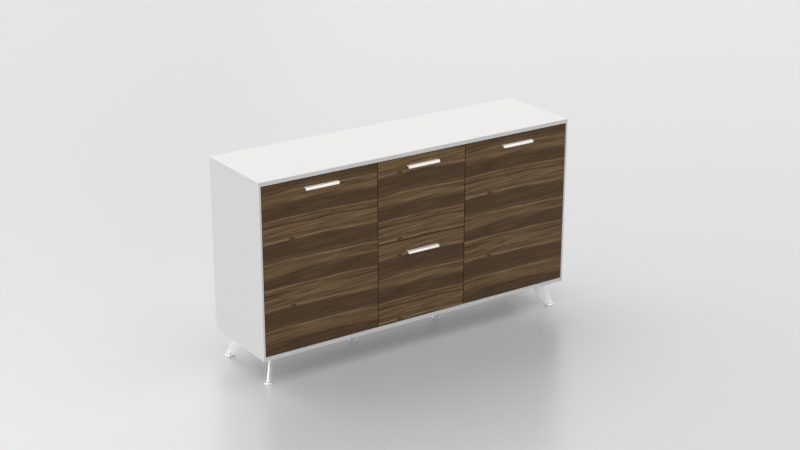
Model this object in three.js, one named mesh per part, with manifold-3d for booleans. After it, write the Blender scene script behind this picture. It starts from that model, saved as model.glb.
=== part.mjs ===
// Office credenza: a white board carcass on cast blade legs, with a walnut door at each side and
// two walnut drawers between them, all set flush inside the white frame.
// Millimetres, +Z up. The origin is on the floor under the middle of the whole piece, handles
// included; +X is to the right of someone who faces the fronts and +Y is to the back.
import * as THREE from 'three';
import { mergeVertices } from 'three/addons/utils/BufferGeometryUtils.js';
import Module from 'manifold-3d';

const wasm = await Module();
wasm.setup();

// Overall sizes
const WIDTH = 1600;
const CARCASS_DEPTH = 420;
const CARCASS_HEIGHT = 790;
const LEG_HEIGHT = 125; // floor to the underside of the carcass

// Boards
const PANEL_THICKNESS = 18; // top, bottom, sides, partitions and shelves
const FRONT_THICKNESS = 18; // doors and drawer fronts
const BACK_THICKNESS = 8;
const BACK_INSET = 10; // back panel's outer face in from the rear edges
const BACK_GROOVE_DEPTH = 7;
const SIDE_LIP = 9; // white edge left showing beside a door
const EDGE_EASE = 0.8; // chamfer along the outer boards' and fronts' edges
const DRAWER_BAY = 456; // partition centre to partition centre
const SHELF_RISE = 372; // bottom panel to the shelf's underside
const SHELF_SETBACK = 40; // shelf's front edge behind the front plane
const SHELF_HOUSING = 6; // depth of the grooves that hold the shelf's ends

// Gaps
const FRONT_GAP = 2.5; // round every door and drawer front
const STOP_GAP = 2; // behind the fronts, before the partitions' front edges
const FIT_GAP = 0.3; // round a piece that is let in, and under one that is screwed on
const RUNNING_GAP = 0.4; // between pieces that slide or turn on each other
const SWING_CLEARANCE = 1; // between a door's inner corner and the rebate as it swings
const OVERCUT = 2; // how far a cutter passes an open face

// Door pivots: pin plates let into the door's edges, socket plates let into the carcass
const PIVOT_INSET = 12; // pin axis from the door's hinge edge
const PIVOT_SETBACK = 7; // pin axis behind the door's face
const PIVOT_PLATE_LENGTH = 48;
const PIVOT_PLATE_WIDTH = 9;
const PIVOT_PLATE_THICKNESS = 2.5;
const PIVOT_PIN_DIAMETER = 5;
const PIVOT_PIN_REACH = 8; // pin's length inside the carcass
const PIVOT_COLLAR_DIAMETER = 8.5;

// Magnetic catches under the top panel
const CATCH_LENGTH = 46;
const CATCH_DEPTH = 26;
const CATCH_HEIGHT = 14;
const CATCH_CHAMFER = 6;
const CATCH_OFFSET = 12; // from the partition

// Finger pulls: an extruded section with a back flange, a top plate and a lip turned down
const HANDLE_LENGTH = 163;
const HANDLE_PROJECTION = 22;
const HANDLE_WALL = 2.5;
const HANDLE_LIP = 10;
const HANDLE_FLANGE = 16;
const HANDLE_FLANGE_INSET = 18; // flange's ends in from the pull's ends
const HANDLE_NOSE_RADIUS = 3; // where the top plate turns down into the lip
const HANDLE_CORNER_RADIUS = 7; // the front corners, seen from above
const HANDLE_DROP = 37; // front's top edge to the pull's top, doors and upper drawer
const LOWER_HANDLE_DROP = 50;

// Drawer boxes
const DRAWER_WALL = 12;
const DRAWER_SIDE_HEIGHT = 250;
const DRAWER_RAISE = 36; // front's lower edge to the sides' lower edge
const DRAWER_BASE_THICKNESS = 6;
const DRAWER_BASE_RAISE = 12; // sides' lower edge to the base's underside
const DRAWER_BASE_GROOVE = 5;
const DRAWER_REAR_SPACE = 34; // left free behind the drawer box

// Telescopic runners
const RUNNER_SPACE = 13; // between a partition and a drawer side
const RUNNER_HEIGHT = 45;
const RUNNER_SHEET = 1.5;
const RUNNER_BEND = 2; // outer radius of the channels' bends
const RUNNER_HOOK = 1.6; // how far a channel's edges turn in to hold the middle member
const RUNNER_SLOT_LENGTH = 12;
const RUNNER_SLOT_WIDTH = 5;
const RUNNER_SLOT_INSET = 40; // slot's centre from the member's ends

// Feet
const FOOT_INSET = 40; // foot's centre from the carcass's edges
const GLIDE_DIAMETER = 40;
const GLIDE_HEIGHT = 8;
const GLIDE_RIM = 4;
const GLIDE_DISH = 2; // depth of the dish inside the rim
const GLIDE_EDGE = 1.2; // chamfer of the rim's corners
const GLIDE_STEM_DIAMETER = 8;
const GLIDE_STEM_LENGTH = 19;
const LEG_THICKNESS = 8;
const LEG_EDGE_RADIUS = 1.8;
const LEG_FOOT_WIDTH = 36;
const LEG_TOP_WIDTH = 50;
const LEG_LEAN = 56; // how far the outer edge leans in from foot to plate
const LEG_BELLY_RISE = 27; // height of the inner edge's curve control over the foot
const LEG_BELLY_INSET = 16; // the same control, out from the inner edge's top
const LEG_BOSS_DIAMETER = 14;
const LEG_BOSS_CAP = 4; // metal left over the stem's bore
const LEG_PLATE_LENGTH = 84;
const LEG_PLATE_WIDTH = 56;
const LEG_PLATE_THICKNESS = 5;
const LEG_PLATE_CORNER = 8;
const LEG_SCREW_HOLE = 5.5;
const LEG_SCREW_MARGIN = 10; // hole's centre from the plate's edges
const POST_DIAMETER = 28;
const POST_FLANGE_DIAMETER = 64;
const POST_FLANGE_THICKNESS = 5;

const ROUND_SEGMENTS = 24;
const HOLE_SEGMENTS = 20;
const CORNER_SEGMENTS = 4;
const BELLY_SEGMENTS = 10;

// Planes that the pieces share
const FRONT_Y = (HANDLE_PROJECTION - CARCASS_DEPTH) / 2;
const REAR_Y = FRONT_Y + CARCASS_DEPTH;
const OUTER_X = WIDTH / 2;
const SIDE_INNER_X = OUTER_X - PANEL_THICKNESS;
const BOTTOM_Z = LEG_HEIGHT;
const TOP_Z = BOTTOM_Z + CARCASS_HEIGHT;
const INNER_BOTTOM_Z = BOTTOM_Z + PANEL_THICKNESS;
const INNER_TOP_Z = TOP_Z - PANEL_THICKNESS;
const FRONT_BACK_Y = FRONT_Y + FRONT_THICKNESS; // back face of doors and drawer fronts
const PARTITION_FRONT_Y = FRONT_BACK_Y + STOP_GAP;
const BACK_OUTER_Y = REAR_Y - BACK_INSET;
const BACK_INNER_Y = BACK_OUTER_Y - BACK_THICKNESS;
const INTERIOR_REAR_Y = BACK_INNER_Y - FIT_GAP;
const PARTITION_OUTER_X = (DRAWER_BAY + PANEL_THICKNESS) / 2;
const PARTITION_INNER_X = (DRAWER_BAY - PANEL_THICKNESS) / 2;
const SHELF_Z = INNER_BOTTOM_Z + SHELF_RISE;

// Doors and drawer fronts
const DOOR_HINGE_X = OUTER_X - SIDE_LIP - FRONT_GAP;
const DOOR_FREE_X = (DRAWER_BAY + FRONT_GAP) / 2;
const DOOR_BOTTOM_Z = INNER_BOTTOM_Z + FRONT_GAP;
const DOOR_TOP_Z = INNER_TOP_Z - FRONT_GAP;
const PIVOT_X = DOOR_HINGE_X - PIVOT_INSET;
const PIVOT_Y = FRONT_Y + PIVOT_SETBACK;
const DRAWER_FRONT_WIDTH = DRAWER_BAY - FRONT_GAP;
const DRAWER_FRONT_HEIGHT = (DOOR_TOP_Z - DOOR_BOTTOM_Z - FRONT_GAP) / 2;
const DRAWER_BOX_WIDTH = 2 * (PARTITION_INNER_X - RUNNER_SPACE);
const DRAWER_BOX_LENGTH = BACK_INNER_Y - DRAWER_REAR_SPACE - FRONT_BACK_Y;
const GLIDE_SEAT_Z = GLIDE_HEIGHT - GLIDE_DISH; // floor of the glide's dish

const credenza = new THREE.Group();

const finishes = {
  melamine: { color: 0xe9e8e6, roughness: 0.45, metalness: 0 },
  walnut: { color: 0x554431, roughness: 0.5, metalness: 0 },
  cast: { color: 0xf3f3f3, roughness: 0.2, metalness: 1 },
  chrome: { color: 0xf5f5f6, roughness: 0.1, metalness: 1 },
  nylon: { color: 0xe6e6e4, roughness: 0.5, metalness: 0 },
  aluminium: { color: 0xf0ece6, roughness: 0.35, metalness: 0.8 },
  steel: { color: 0xb9bcc0, roughness: 0.4, metalness: 0.9 },
  drawerBoard: { color: 0xd9d8d5, roughness: 0.55, metalness: 0 },
};

// Adds one named piece to a group.
function add(group, name, geometry, finish) {
  const mesh = new THREE.Mesh(geometry, new THREE.MeshStandardMaterial(finishes[finish]));
  mesh.name = name;
  group.add(mesh);
  return mesh;
}

// Solids for joining and cutting
function toSolid(geometry) {
  const bare = geometry.clone();
  bare.deleteAttribute('normal');
  bare.deleteAttribute('uv');
  const merged = mergeVertices(bare);
  return new wasm.Manifold(new wasm.Mesh({
    numProp: 3,
    vertProperties: merged.attributes.position.array,
    triVerts: Uint32Array.from(merged.index.array),
  }));
}

function toGeometry(solid) {
  const { vertProperties, triVerts } = solid.getMesh();
  const geometry = new THREE.BufferGeometry();
  geometry.setAttribute('position', new THREE.BufferAttribute(vertProperties, 3));
  geometry.setIndex(new THREE.BufferAttribute(triVerts, 1));
  geometry.computeVertexNormals();
  return geometry;
}

function join(...pieces) {
  return toGeometry(pieces.map(toSolid).reduce((whole, piece) => whole.add(piece)));
}

function cut(stock, ...tools) {
  return toGeometry(tools.map(toSolid).reduce((left, tool) => left.subtract(tool), toSolid(stock)));
}

function overlap(one, other) {
  return toGeometry(toSolid(one).intersect(toSolid(other)));
}

// A rectangular block whose faces lie exactly on the two corners' values.
function block([x0, y0, z0], [x1, y1, z1]) {
  const geometry = new THREE.BoxGeometry();
  const { position } = geometry.attributes;
  for (let i = 0; i < position.count; i++) {
    const x = position.getX(i) < 0 ? x0 : x1;
    const y = position.getY(i) < 0 ? y0 : y1;
    const z = position.getZ(i) < 0 ? z0 : z1;
    position.setXYZ(i, x, y, z);
  }
  return geometry;
}

// The same block on the left (side -1) or on the right (side 1) of the middle.
function sideBlock(side, [x0, y0, z0], [x1, y1, z1]) {
  const [low, high] = side < 0 ? [-x1, -x0] : [x0, x1];
  return block([low, y0, z0], [high, y1, z1]);
}

// A board whose faces lie exactly on the two corners' values, with the edges round its two large
// faces eased. thin is the axis of its thickness: 1 for Y, 2 for Z.
function board(low, high, thin) {
  const square = polygon([[-1, -1], [1, -1], [1, 1], [-1, 1]]);
  const bevel = { bevelThickness: 1, bevelSize: 1, bevelSegments: 1 };
  const geometry = new THREE.ExtrudeGeometry(square, { depth: 2, ...bevel }).translate(0, 0, -1);
  if (thin === 1) geometry.rotateX(Math.PI / 2);
  const { position } = geometry.attributes;
  for (let i = 0; i < position.count; i++) {
    for (let axis = 0; axis < 3; axis++) {
      const place = position.getComponent(i, axis);
      const inset = Math.abs(place) > 1.5 ? 0 : EDGE_EASE;
      position.setComponent(i, axis, place < 0 ? low[axis] + inset : high[axis] - inset);
    }
  }
  return geometry;
}

// A profile of [radius, height] points turned about the Z axis.
function turned(profile, segments = ROUND_SEGMENTS) {
  const points = profile.map(([radius, height]) => new THREE.Vector2(radius, height));
  return new THREE.LatheGeometry(points, segments).rotateX(Math.PI / 2);
}

function cylinder(diameter, z0, z1, segments = HOLE_SEGMENTS) {
  const radius = diameter / 2;
  return turned([[0, z0], [radius, z0], [radius, z1], [0, z1]], segments);
}

// A flat outline given thickness upwards from z0 to z1.
function slab(shape, z0, z1) {
  const options = { depth: z1 - z0, bevelEnabled: false, curveSegments: CORNER_SEGMENTS };
  return new THREE.ExtrudeGeometry(shape, options).translate(0, 0, z0);
}

function roundedRectangle(x0, y0, x1, y1, radius) {
  const shape = new THREE.Shape();
  shape.moveTo(x0 + radius, y0);
  shape.lineTo(x1 - radius, y0);
  shape.absarc(x1 - radius, y0 + radius, radius, -Math.PI / 2, 0);
  shape.lineTo(x1, y1 - radius);
  shape.absarc(x1 - radius, y1 - radius, radius, 0, Math.PI / 2);
  shape.lineTo(x0 + radius, y1);
  shape.absarc(x0 + radius, y1 - radius, radius, Math.PI / 2, Math.PI);
  shape.lineTo(x0, y0 + radius);
  shape.absarc(x0 + radius, y0 + radius, radius, Math.PI, 1.5 * Math.PI);
  return shape;
}

function polygon(points) {
  return new THREE.Shape(points.map(([x, y]) => new THREE.Vector2(x, y)));
}

// Door pivots, drawn about the pin axis with the plate running towards +X
function pivotOutline(margin) {
  const end = PIVOT_PLATE_WIDTH / 2 + margin;
  const shape = new THREE.Shape();
  shape.absarc(0, 0, end, Math.PI / 2, 1.5 * Math.PI);
  shape.lineTo(PIVOT_PLATE_LENGTH - PIVOT_PLATE_WIDTH, -end);
  shape.absarc(PIVOT_PLATE_LENGTH - PIVOT_PLATE_WIDTH, 0, end, -Math.PI / 2, Math.PI / 2);
  return shape;
}

// Pin plate: the plate lies below z = 0, the door's edge, and the collar and pin stand on it.
function pivotPin() {
  const collarTop = FRONT_GAP - FIT_GAP;
  const pinTop = FRONT_GAP + PIVOT_PIN_REACH;
  const collar = PIVOT_COLLAR_DIAMETER / 2;
  const pin = PIVOT_PIN_DIAMETER / 2;
  const post = turned([
    [0, -PIVOT_PLATE_THICKNESS / 2],
    [collar, -PIVOT_PLATE_THICKNESS / 2],
    [collar, collarTop],
    [pin, collarTop],
    [pin, pinTop],
    [0, pinTop],
  ]);
  return join(slab(pivotOutline(0), -PIVOT_PLATE_THICKNESS, 0), post);
}

// Socket plate: flush with the carcass's face at z = 0, the board behind it towards +Z.
function pivotSocket() {
  const plate = slab(pivotOutline(0), 0, PIVOT_PLATE_THICKNESS);
  const bore = PIVOT_PIN_DIAMETER + 2 * RUNNING_GAP;
  return cut(plate, cylinder(bore, -OVERCUT, PIVOT_PLATE_THICKNESS + OVERCUT));
}

function pivotRecess() {
  return slab(pivotOutline(FIT_GAP), -OVERCUT, PIVOT_PLATE_THICKNESS + FIT_GAP);
}

function pivotBore() {
  const bore = PIVOT_PIN_DIAMETER + 2 * RUNNING_GAP;
  return cylinder(bore, -OVERCUT, PIVOT_PIN_REACH + RUNNING_GAP);
}

// Where a pivot piece goes: side -1 or 1, level -1 (lower) or 1 (upper), at a given height.
// A half turn about Z serves the right side and a half turn about X serves the lower level.
function pivotPlace(side, level, z) {
  const turnZ = new THREE.Matrix4().makeRotationZ(side < 0 ? 0 : Math.PI);
  const turnX = new THREE.Matrix4().makeRotationX(level > 0 ? 0 : Math.PI);
  return new THREE.Matrix4().makeTranslation(side * PIVOT_X, PIVOT_Y, z).multiply(turnZ).multiply(turnX);
}

const sides = [['left', -1], ['right', 1]];
const levels = [['lower', -1], ['upper', 1]];

// Carcass
const grooveFrontY = BACK_INNER_Y - FIT_GAP;
const grooveRearY = BACK_OUTER_Y + FIT_GAP;
const backHalfWidth = SIDE_INNER_X + BACK_GROOVE_DEPTH;

// Top or bottom panel, with the groove for the back and the seats of the four socket plates.
function horizontalPanel(level) {
  const [z0, z1] = level > 0 ? [INNER_TOP_Z, TOP_Z] : [BOTTOM_Z, INNER_BOTTOM_Z];
  const face = level > 0 ? INNER_TOP_Z : INNER_BOTTOM_Z;
  const grooveZ = [face - level * OVERCUT, face + level * BACK_GROOVE_DEPTH].sort((a, b) => a - b);
  const groove = block(
    [-backHalfWidth, grooveFrontY, grooveZ[0]],
    [backHalfWidth, grooveRearY, grooveZ[1]],
  );
  const seats = sides.flatMap(([, side]) => [
    pivotRecess().applyMatrix4(pivotPlace(side, level, face)),
    pivotBore().applyMatrix4(pivotPlace(side, level, face)),
  ]);
  return cut(board([-OUTER_X, FRONT_Y, z0], [OUTER_X, REAR_Y, z1], 2), groove, ...seats);
}

// The door's inner corner swings this far behind the front plane.
const doorSwingDepth = PIVOT_SETBACK + Math.hypot(PIVOT_INSET, FRONT_THICKNESS - PIVOT_SETBACK);
const rebateRearY = FRONT_Y + doorSwingDepth + SWING_CLEARANCE;

// Groove across an upright board that a shelf's end is let into.
function shelfHousing(side, x0, x1) {
  return sideBlock(
    side,
    [x0, FRONT_Y + SHELF_SETBACK - FIT_GAP, SHELF_Z - FIT_GAP],
    [x1, BACK_INNER_Y, SHELF_Z + PANEL_THICKNESS + FIT_GAP],
  );
}

function sidePanel(side) {
  const stock = slab(polygon([
    [side * SIDE_INNER_X, FRONT_Y],
    [side * (OUTER_X - EDGE_EASE), FRONT_Y],
    [side * OUTER_X, FRONT_Y + EDGE_EASE],
    [side * OUTER_X, REAR_Y - EDGE_EASE],
    [side * (OUTER_X - EDGE_EASE), REAR_Y],
    [side * SIDE_INNER_X, REAR_Y],
  ]), INNER_BOTTOM_Z, INNER_TOP_Z);
  const rebate = sideBlock(
    side,
    [SIDE_INNER_X - OVERCUT, FRONT_Y - OVERCUT, INNER_BOTTOM_Z - OVERCUT],
    [OUTER_X - SIDE_LIP, rebateRearY, INNER_TOP_Z + OVERCUT],
  );
  const groove = sideBlock(
    side,
    [SIDE_INNER_X - OVERCUT, grooveFrontY, INNER_BOTTOM_Z - OVERCUT],
    [backHalfWidth, grooveRearY, INNER_TOP_Z + OVERCUT],
  );
  const housing = shelfHousing(side, SIDE_INNER_X - OVERCUT, SIDE_INNER_X + SHELF_HOUSING);
  return cut(stock, rebate, groove, housing);
}

function partition(side) {
  const stock = sideBlock(
    side,
    [PARTITION_INNER_X, PARTITION_FRONT_Y, INNER_BOTTOM_Z],
    [PARTITION_OUTER_X, INTERIOR_REAR_Y, INNER_TOP_Z],
  );
  return cut(stock, shelfHousing(side, PARTITION_OUTER_X - SHELF_HOUSING, PARTITION_OUTER_X + OVERCUT));
}

function shelf(side) {
  const let_in = SHELF_HOUSING - FIT_GAP;
  return sideBlock(
    side,
    [PARTITION_OUTER_X - let_in, FRONT_Y + SHELF_SETBACK, SHELF_Z],
    [SIDE_INNER_X + let_in, INTERIOR_REAR_Y, SHELF_Z + PANEL_THICKNESS],
  );
}

add(credenza, 'top_panel', horizontalPanel(1), 'melamine');
add(credenza, 'bottom_panel', horizontalPanel(-1), 'melamine');
add(credenza, 'back_panel', block(
  [FIT_GAP - backHalfWidth, BACK_INNER_Y, INNER_BOTTOM_Z - BACK_GROOVE_DEPTH + FIT_GAP],
  [backHalfWidth - FIT_GAP, BACK_OUTER_Y, INNER_TOP_Z + BACK_GROOVE_DEPTH - FIT_GAP],
), 'melamine');
for (const [name, side] of sides) {
  add(credenza, `${name}_side_panel`, sidePanel(side), 'melamine');
  add(credenza, `${name}_partition`, partition(side), 'melamine');
  add(credenza, `${name}_shelf`, shelf(side), 'melamine');
}

// Finger pull, drawn with its top at z = 0 and the front's face at y = 0
function handle() {
  const nose = HANDLE_PROJECTION - HANDLE_NOSE_RADIUS;
  const lipBack = HANDLE_PROJECTION - HANDLE_WALL;
  const flangeFront = FIT_GAP + HANDLE_WALL;
  const section = new THREE.Shape();
  section.moveTo(FIT_GAP, 0);
  section.lineTo(FIT_GAP, -HANDLE_FLANGE);
  section.lineTo(flangeFront, -HANDLE_FLANGE);
  section.lineTo(flangeFront, -HANDLE_WALL);
  section.lineTo(lipBack, -HANDLE_WALL);
  section.lineTo(lipBack, -HANDLE_LIP);
  section.lineTo(HANDLE_PROJECTION, -HANDLE_LIP);
  section.lineTo(HANDLE_PROJECTION, -HANDLE_NOSE_RADIUS);
  section.absarc(nose, -HANDLE_NOSE_RADIUS, HANDLE_NOSE_RADIUS, 0, Math.PI / 2);
  const options = { depth: HANDLE_LENGTH, bevelEnabled: false, curveSegments: CORNER_SEGMENTS };
  const outwards = new THREE.Vector3(0, -1, 0);
  const upwards = new THREE.Vector3(0, 0, 1);
  const lengthwise = new THREE.Vector3(-1, 0, 0);
  const bar = new THREE.ExtrudeGeometry(section, options)
    .translate(0, 0, -HANDLE_LENGTH / 2)
    .applyMatrix4(new THREE.Matrix4().makeBasis(outwards, upwards, lengthwise));

  // Seen from above the back corners stay square, beyond the bar, and the front ones are round.
  // The screw flange behind stops short of both ends.
  const half = HANDLE_LENGTH / 2;
  const plan = roundedRectangle(-half, -HANDLE_PROJECTION, half, HANDLE_PROJECTION, HANDLE_CORNER_RADIUS);
  const ends = sides.map(([, side]) => sideBlock(
    side,
    [half - HANDLE_FLANGE_INSET, -HANDLE_PROJECTION / 2, -HANDLE_FLANGE - OVERCUT],
    [half + OVERCUT, OVERCUT, -HANDLE_WALL],
  ));
  return cut(overlap(bar, slab(plan, -HANDLE_FLANGE - OVERCUT, OVERCUT)), ...ends);
}

// Doors
function doorPanel(side) {
  const [x0, x1] = side < 0 ? [-DOOR_HINGE_X, -DOOR_FREE_X] : [DOOR_FREE_X, DOOR_HINGE_X];
  const stock = board([x0, FRONT_Y, DOOR_BOTTOM_Z], [x1, FRONT_BACK_Y, DOOR_TOP_Z], 1);
  const pockets = levels.map(([, level]) => {
    const edge = level > 0 ? DOOR_TOP_Z : DOOR_BOTTOM_Z;
    const pocket = slab(pivotOutline(FIT_GAP), -PIVOT_PLATE_THICKNESS - FIT_GAP, OVERCUT);
    return pocket.applyMatrix4(pivotPlace(side, level, edge));
  });
  return cut(stock, ...pockets);
}

// Catch body: a chamfered block under the top panel that the shut door's back rests against.
function catchBody(side) {
  const profile = polygon([
    [0, 0],
    [0, -CATCH_HEIGHT],
    [CATCH_DEPTH - CATCH_CHAMFER, -CATCH_HEIGHT],
    [CATCH_DEPTH, CATCH_CHAMFER - CATCH_HEIGHT],
    [CATCH_DEPTH, 0],
  ]);
  const backwards = new THREE.Vector3(0, 1, 0);
  const upwards = new THREE.Vector3(0, 0, 1);
  const lengthwise = new THREE.Vector3(1, 0, 0);
  const options = { depth: CATCH_LENGTH, bevelEnabled: false };
  const x = side * (PARTITION_OUTER_X + CATCH_OFFSET + CATCH_LENGTH / 2);
  return new THREE.ExtrudeGeometry(profile, options)
    .translate(0, 0, -CATCH_LENGTH / 2)
    .applyMatrix4(new THREE.Matrix4().makeBasis(backwards, upwards, lengthwise))
    .translate(x, FRONT_BACK_Y + FIT_GAP, INNER_TOP_Z - FIT_GAP);
}

for (const [name, side] of sides) {
  const door = new THREE.Group();
  credenza.add(door);
  add(door, `${name}_door_panel`, doorPanel(side), 'walnut');
  const pull = add(door, `${name}_door_handle`, handle(), 'aluminium');
  pull.position.set(side * (DOOR_HINGE_X + DOOR_FREE_X) / 2, FRONT_Y, DOOR_TOP_Z - HANDLE_DROP);
  for (const [height, level] of levels) {
    const edge = level > 0 ? DOOR_TOP_Z : DOOR_BOTTOM_Z;
    const face = level > 0 ? INNER_TOP_Z : INNER_BOTTOM_Z;
    add(door, `${name}_door_${height}_pivot`, pivotPin(), 'steel')
      .applyMatrix4(pivotPlace(side, level, edge));
    add(credenza, `${name}_${height}_pivot_socket`, pivotSocket(), 'steel')
      .applyMatrix4(pivotPlace(side, level, face));
  }
  add(credenza, `${name}_door_catch`, catchBody(side), 'nylon');
}

// Telescopic runner sections, in (distance from the partition, height), and their lengths along Y.
// The cabinet and drawer members are channels that face each other. Their edges turn in and hook
// into the middle member, whose own edges turn out behind them.
const runnerMiddle = RUNNER_SPACE / 2;
const runnerHalf = RUNNER_HEIGHT / 2;
const channelTip = runnerMiddle - RUNNING_GAP / 2;
const hookBack = channelTip - RUNNER_SHEET;

// A section that is the same above and below, from the points of its upper half.
function mirroredSection(upper) {
  const lower = upper.map(([d, h]) => [d, -h]).reverse();
  return polygon([...upper, ...lower]);
}

function channelSection() {
  const web = FIT_GAP + RUNNER_SHEET;
  const inner = runnerHalf - RUNNER_SHEET;
  const bend = RUNNER_BEND * (1 - Math.SQRT1_2);
  return mirroredSection([
    [web, inner],
    [hookBack, inner],
    [hookBack, inner - RUNNER_HOOK],
    [channelTip, inner - RUNNER_HOOK],
    [channelTip, runnerHalf - bend],
    [channelTip - bend, runnerHalf],
    [FIT_GAP + RUNNER_BEND, runnerHalf],
    [FIT_GAP + bend, runnerHalf - bend],
    [FIT_GAP, runnerHalf - RUNNER_BEND],
  ]);
}

function middleSection() {
  const near = FIT_GAP + RUNNER_SHEET + RUNNING_GAP;
  const far = RUNNER_SPACE - near;
  const edgeNear = hookBack - RUNNING_GAP;
  const edgeFar = RUNNER_SPACE - edgeNear;
  const crest = runnerHalf - RUNNER_SHEET - RUNNING_GAP;
  const flange = crest - RUNNER_HOOK;
  const under = flange - RUNNER_SHEET;
  const webNear = runnerMiddle - RUNNER_SHEET / 2;
  const webFar = runnerMiddle + RUNNER_SHEET / 2;
  return mirroredSection([
    [webFar, under],
    [far, under],
    [far, crest],
    [edgeFar, crest],
    [edgeFar, flange],
    [edgeNear, flange],
    [edgeNear, crest],
    [near, crest],
    [near, under],
    [webNear, under],
  ]);
}

// A runner member with its section about the middle of the gap, running back from y = 0.
function runnerMember(section) {
  const across = new THREE.Vector3(1, 0, 0);
  const upwards = new THREE.Vector3(0, 0, 1);
  const forwards = new THREE.Vector3(0, -1, 0);
  const options = { depth: DRAWER_BOX_LENGTH, bevelEnabled: false };
  return new THREE.ExtrudeGeometry(section, options)
    .translate(-runnerMiddle, 0, -DRAWER_BOX_LENGTH / 2)
    .applyMatrix4(new THREE.Matrix4().makeBasis(across, upwards, forwards));
}

// A channel with its two screw slots, which run along it near its ends.
function channelMember() {
  const half = RUNNER_SLOT_LENGTH / 2;
  const round = RUNNER_SLOT_WIDTH / 2;
  const slots = [-1, 1].map((end) => {
    const outline = roundedRectangle(-round, -half, round, half, round);
    const through = slab(outline, -runnerMiddle - OVERCUT, OVERCUT - runnerMiddle);
    const y = end * (DRAWER_BOX_LENGTH / 2 - RUNNER_SLOT_INSET);
    return through.rotateY(Math.PI / 2).translate(0, y, 0);
  });
  return cut(runnerMember(channelSection()), ...slots);
}

// Drawers, in a frame at the middle of the front's lower edge
const boxHalf = DRAWER_BOX_WIDTH / 2;
const boxInner = boxHalf - DRAWER_WALL;
const boxRear = FRONT_THICKNESS + DRAWER_BOX_LENGTH;
const baseLow = DRAWER_RAISE + DRAWER_BASE_RAISE;
const baseHigh = baseLow + DRAWER_BASE_THICKNESS;
const sideTop = DRAWER_RAISE + DRAWER_SIDE_HEIGHT;
const grooveHalf = boxInner + DRAWER_BASE_GROOVE;
const baseTongue = DRAWER_BASE_GROOVE - FIT_GAP;

function drawerFront() {
  const half = DRAWER_FRONT_WIDTH / 2;
  const groove = block(
    [-grooveHalf, FRONT_THICKNESS - DRAWER_BASE_GROOVE, baseLow - FIT_GAP],
    [grooveHalf, FRONT_THICKNESS + OVERCUT, baseHigh + FIT_GAP],
  );
  return cut(board([-half, 0, 0], [half, FRONT_THICKNESS, DRAWER_FRONT_HEIGHT], 1), groove);
}

function drawerSide(side) {
  const groove = sideBlock(
    side,
    [boxInner - OVERCUT, FRONT_THICKNESS - OVERCUT, baseLow - FIT_GAP],
    [grooveHalf, boxRear + OVERCUT, baseHigh + FIT_GAP],
  );
  return cut(
    sideBlock(side, [boxInner, FRONT_THICKNESS, DRAWER_RAISE], [boxHalf, boxRear, sideTop]),
    groove,
  );
}

function makeDrawer(name, frontZ, handleDrop) {
  const drawer = new THREE.Group();
  drawer.position.set(0, FRONT_Y, frontZ);
  credenza.add(drawer);
  add(drawer, `${name}_front`, drawerFront(), 'walnut');
  const pull = add(drawer, `${name}_handle`, handle(), 'aluminium');
  pull.position.set(0, 0, DRAWER_FRONT_HEIGHT - handleDrop);
  add(drawer, `${name}_bottom`, block(
    [-boxInner - baseTongue, FRONT_THICKNESS - baseTongue, baseLow],
    [boxInner + baseTongue, boxRear, baseHigh],
  ), 'drawerBoard');
  add(drawer, `${name}_back`, block(
    [-boxInner, boxRear - DRAWER_WALL, baseHigh],
    [boxInner, boxRear, sideTop],
  ), 'drawerBoard');

  const runnerY = FRONT_THICKNESS + STOP_GAP + DRAWER_BOX_LENGTH / 2;
  const runnerZ = DRAWER_RAISE + DRAWER_SIDE_HEIGHT / 2;
  for (const [hand, side] of sides) {
    add(drawer, `${name}_${hand}_side`, drawerSide(side), 'drawerBoard');
    const runner = new THREE.Group();
    runner.position.set(side * (boxHalf + runnerMiddle), runnerY, runnerZ);
    runner.rotation.z = side < 0 ? 0 : Math.PI;
    drawer.add(runner);
    add(runner, `${name}_${hand}_cabinet_member`, channelMember(), 'steel');
    add(runner, `${name}_${hand}_middle_member`, runnerMember(middleSection()), 'steel');
    const inner = add(runner, `${name}_${hand}_drawer_member`, channelMember(), 'steel');
    inner.rotation.z = Math.PI;
  }
}

makeDrawer('lower_drawer', DOOR_BOTTOM_Z, LOWER_HANDLE_DROP);
makeDrawer('upper_drawer', DOOR_BOTTOM_Z + DRAWER_FRONT_HEIGHT + FRONT_GAP, HANDLE_DROP);

// Feet, drawn about the foot's own vertical axis
const stemBore = GLIDE_STEM_DIAMETER + 2 * RUNNING_GAP;
const boreTop = GLIDE_SEAT_Z + GLIDE_STEM_LENGTH + RUNNING_GAP;
const footSeat = GLIDE_SEAT_Z + FIT_GAP; // underside of the boss that the glide screws into
const plateTop = LEG_HEIGHT - FIT_GAP;

// Levelling glide: a dished disc with a rim, and the stem that screws into the leg.
function glide() {
  const radius = GLIDE_DIAMETER / 2;
  const dish = radius - GLIDE_RIM;
  const stem = GLIDE_STEM_DIAMETER / 2;
  return turned([
    [0, 0],
    [radius - GLIDE_EDGE, 0],
    [radius, GLIDE_EDGE],
    [radius, GLIDE_HEIGHT - GLIDE_EDGE],
    [radius - GLIDE_EDGE, GLIDE_HEIGHT],
    [dish, GLIDE_HEIGHT],
    [dish - GLIDE_DISH, GLIDE_SEAT_Z],
    [stem, GLIDE_SEAT_Z],
    [stem, GLIDE_SEAT_Z + GLIDE_STEM_LENGTH],
    [0, GLIDE_SEAT_Z + GLIDE_STEM_LENGTH],
  ]);
}

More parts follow.
